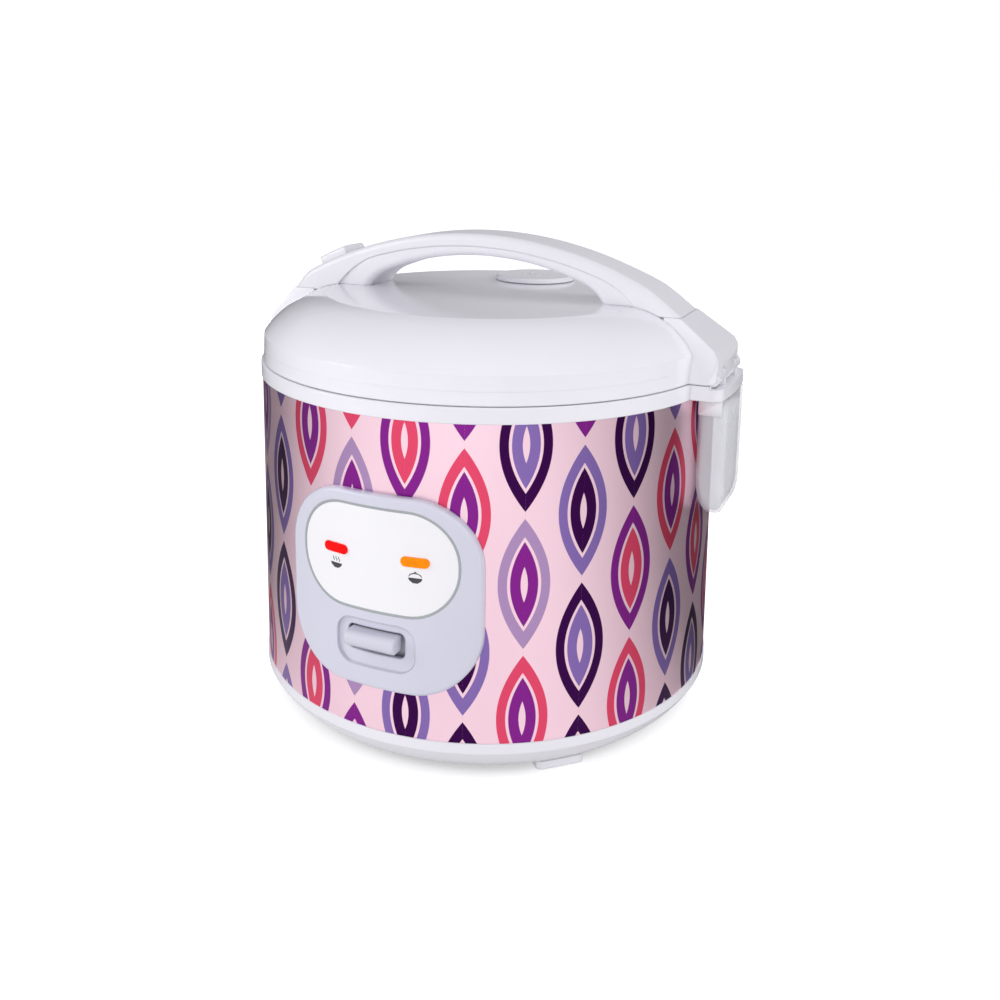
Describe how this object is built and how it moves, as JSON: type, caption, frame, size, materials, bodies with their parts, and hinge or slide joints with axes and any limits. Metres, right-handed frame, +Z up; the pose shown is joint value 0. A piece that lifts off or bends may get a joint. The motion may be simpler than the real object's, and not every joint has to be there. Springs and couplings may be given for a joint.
{
  "type": "rice cooker",
  "caption": "Jar rice cooker with printed sleeve, hinged lid with bow handle and press latch, clear dew cup, lever panel with lamps, and pot over a sprung thermostat.",
  "frame": {"origin": "on the axis of the round body at counter level, where the feet rest", "axes": "+Z up, +X to the lid hinge and dew collector, -X to the latch, -Y to the control panel"},
  "size_m": [0.2872, 0.279, 0.2635],
  "materials": {
    "white_plastic": "glossy white moulded plastic",
    "printed_sleeve": "pale pink printed steel sheet",
    "steel": "plain steel",
    "pot_coating": "pressed aluminium with a grey non-stick coat",
    "aluminium": "cast or pressed aluminium",
    "brass": "plain brass",
    "fibre_band": "woven glass-fibre heater band",
    "black_plastic": "black phenolic",
    "panel_grey": "light blue-grey moulded plastic",
    "panel_white": "glossy off-white plastic",
    "red_lens": "clear red lens",
    "orange_lens": "clear orange lens",
    "board": "phenolic circuit board",
    "lamp_glass": "small glass bulbs",
    "silicone": "translucent grey silicone",
    "ferrite": "ferrite magnet and keeper",
    "clear_plastic": "clear moulded plastic"
  },
  "bodies": {
    "body": {"base": "white_plastic", "outer_shell": "printed_sleeve", "upper_ring": "white_plastic", "inner_case": "steel", "inner_pot": "pot_coating", "heating_plate": "aluminium", "heater_terminals": "brass", "heater_supports": "steel", "base_screws": "steel", "warming_band": "fibre_band", "thermal_fuse": "black_plastic", "thermostat_guide": "steel", "thermostat_spring": "steel", "lever_pin": "steel", "switch_bracket": "steel", "micro_switch": "black_plastic", "panel_bezel": "panel_grey", "panel_plate": "panel_white", "cook_lamp_lens": "red_lens", "warm_lamp_lens": "orange_lens", "lamp_board": "board", "indicator_lamps": "lamp_glass", "power_inlet": "black_plastic", "inlet_blades": "brass", "hinge_pin": "steel"},
    "lid": {"lid_cover": "white_plastic", "lid_liner": "white_plastic", "lid_screws": "steel", "inner_lid": "aluminium", "lid_seal": "silicone", "inner_lid_grommet": "silicone", "handle_cover": "white_plastic", "handle_grip": "white_plastic", "latch_pin": "steel", "latch_spring": "steel", "steam_vent_seat": "silicone"},
    "latch": {"latch_hook": "white_plastic", "latch_button": "white_plastic"},
    "lever": {"cook_lever": "panel_white"},
    "magnet": {"magnet": "ferrite"},
    "thermostat": {"thermostat_cap": "aluminium"},
    "collector": {"dew_collector": "clear_plastic"},
    "vent_cap": {"steam_vent_cap": "white_plastic"}
  },
  "joints": [
    {"name": "lid_hinge", "type": "hinge", "parent": "body", "child": "lid", "pos_m": [0.1379, 0, 0.196], "axis": [0, 1, 0], "range_deg": [0, 90]},
    {"name": "latch_press", "type": "hinge", "parent": "lid", "child": "latch", "pos_m": [-0.12, 0, 0.215], "axis": [0, 1, 0], "range_deg": [0, 4.5], "stiffness_Nm_per_rad": 1.5, "springref_deg": -5.73},
    {"name": "lever_press", "type": "hinge", "parent": "body", "child": "lever", "pos_m": [0, -0.07, 0.035], "axis": [1, 0, 0], "range_deg": [0, 2.95], "stiffness_Nm_per_rad": 0.6, "springref_deg": -5.73},
    {"name": "magnet_lift", "type": "slide", "parent": "body", "child": "magnet", "axis": [0, 0, 1], "range_m": [0, 0.0037]},
    {"name": "thermostat_press", "type": "slide", "parent": "body", "child": "thermostat", "axis": [0, 0, 1], "range_m": [-0.002, 0], "stiffness_N_per_m": 400, "springref_m": 0.003, "deforming": ["thermostat_spring"]},
    {"name": "collector_pull", "type": "slide", "parent": "body", "child": "collector", "axis": [0, 0, -1], "range_m": [0, 0.06]},
    {"name": "vent_cap_lift", "type": "slide", "parent": "lid", "child": "vent_cap", "axis": [0, 0, 1], "range_m": [0, 0.016]}
  ],
  "couplings": [
    {"joint": "magnet_lift", "follows": "lever_press", "m_per_rad": 0.07}
  ]
}
